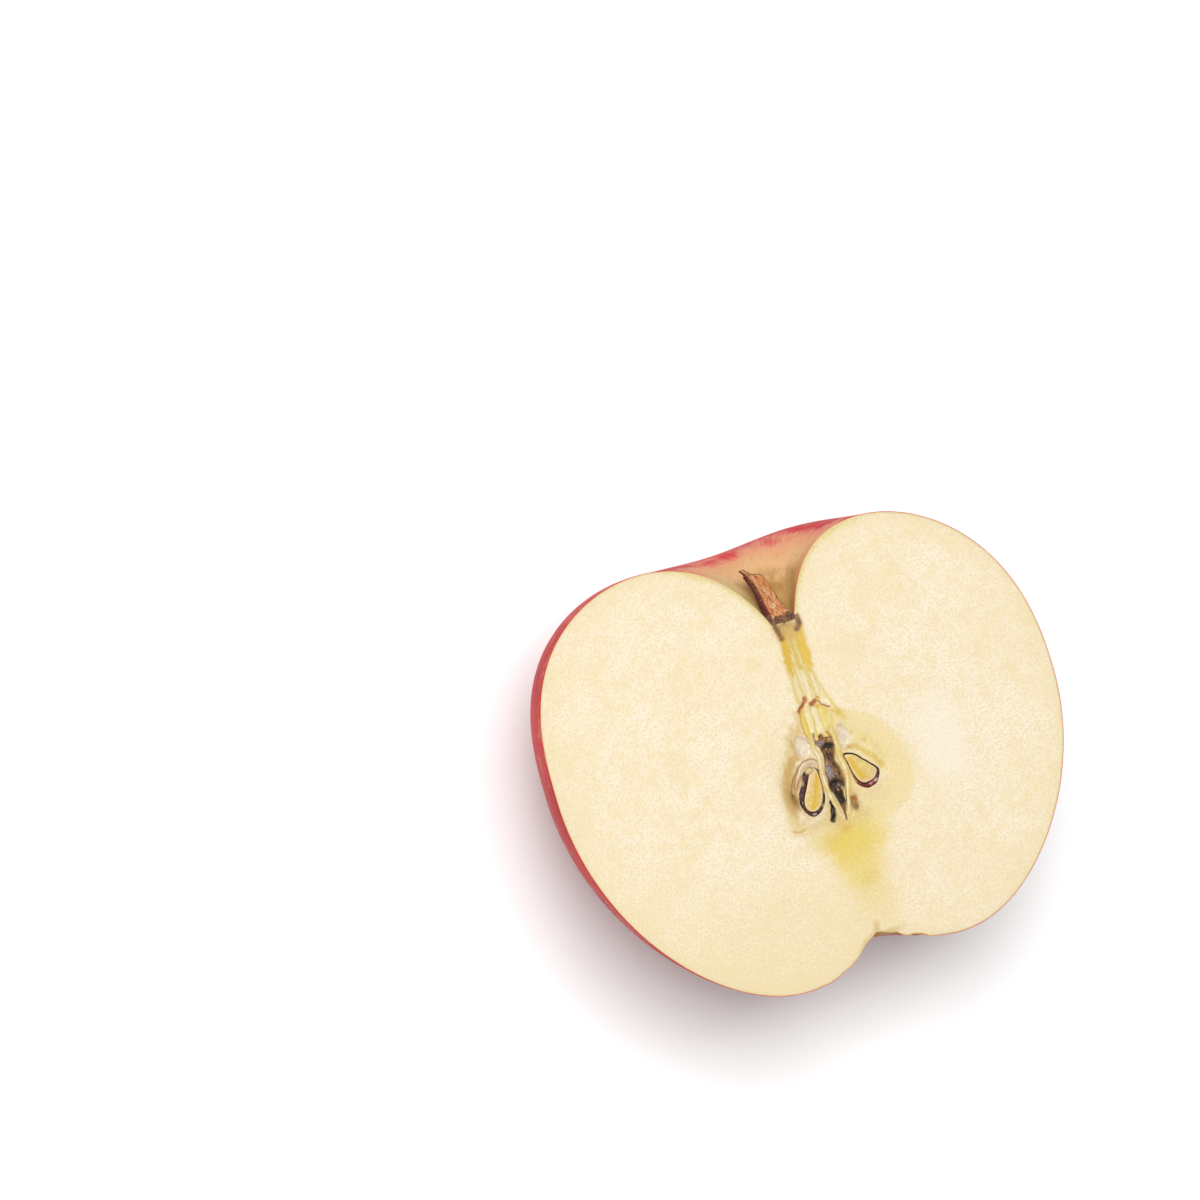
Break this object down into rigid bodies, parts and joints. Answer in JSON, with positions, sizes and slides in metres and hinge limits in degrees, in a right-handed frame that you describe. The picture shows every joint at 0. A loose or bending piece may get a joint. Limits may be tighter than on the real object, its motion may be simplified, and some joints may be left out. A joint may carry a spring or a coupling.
{
  "type": "apple half",
  "caption": "Round apple half cut lengthwise, resting on its skin with the cut face up, with halved stem, open core and cut seeds.",
  "frame": {"origin": "middle of the bounding box's base, on the surface the half lies on", "axes": "+X across the cut face, +Y along the core towards the stem, +Z out of the cut face"},
  "size_m": [0.0846, 0.0686, 0.0412],
  "materials": {
    "flesh": "satin",
    "skin": "satin",
    "stem_bark": "matte",
    "seed_coat": "satin",
    "seed_kernel": "satin",
    "carpel": "satin",
    "core_stain": "matte"
  },
  "bodies": {
    "root": {"body_half": "flesh", "stem_half": "stem_bark", "seed_coat_left": "seed_coat", "seed_coat_right": "seed_coat", "seed_kernel_left": "seed_kernel", "seed_kernel_right": "seed_kernel"}
  },
  "joints": []
}
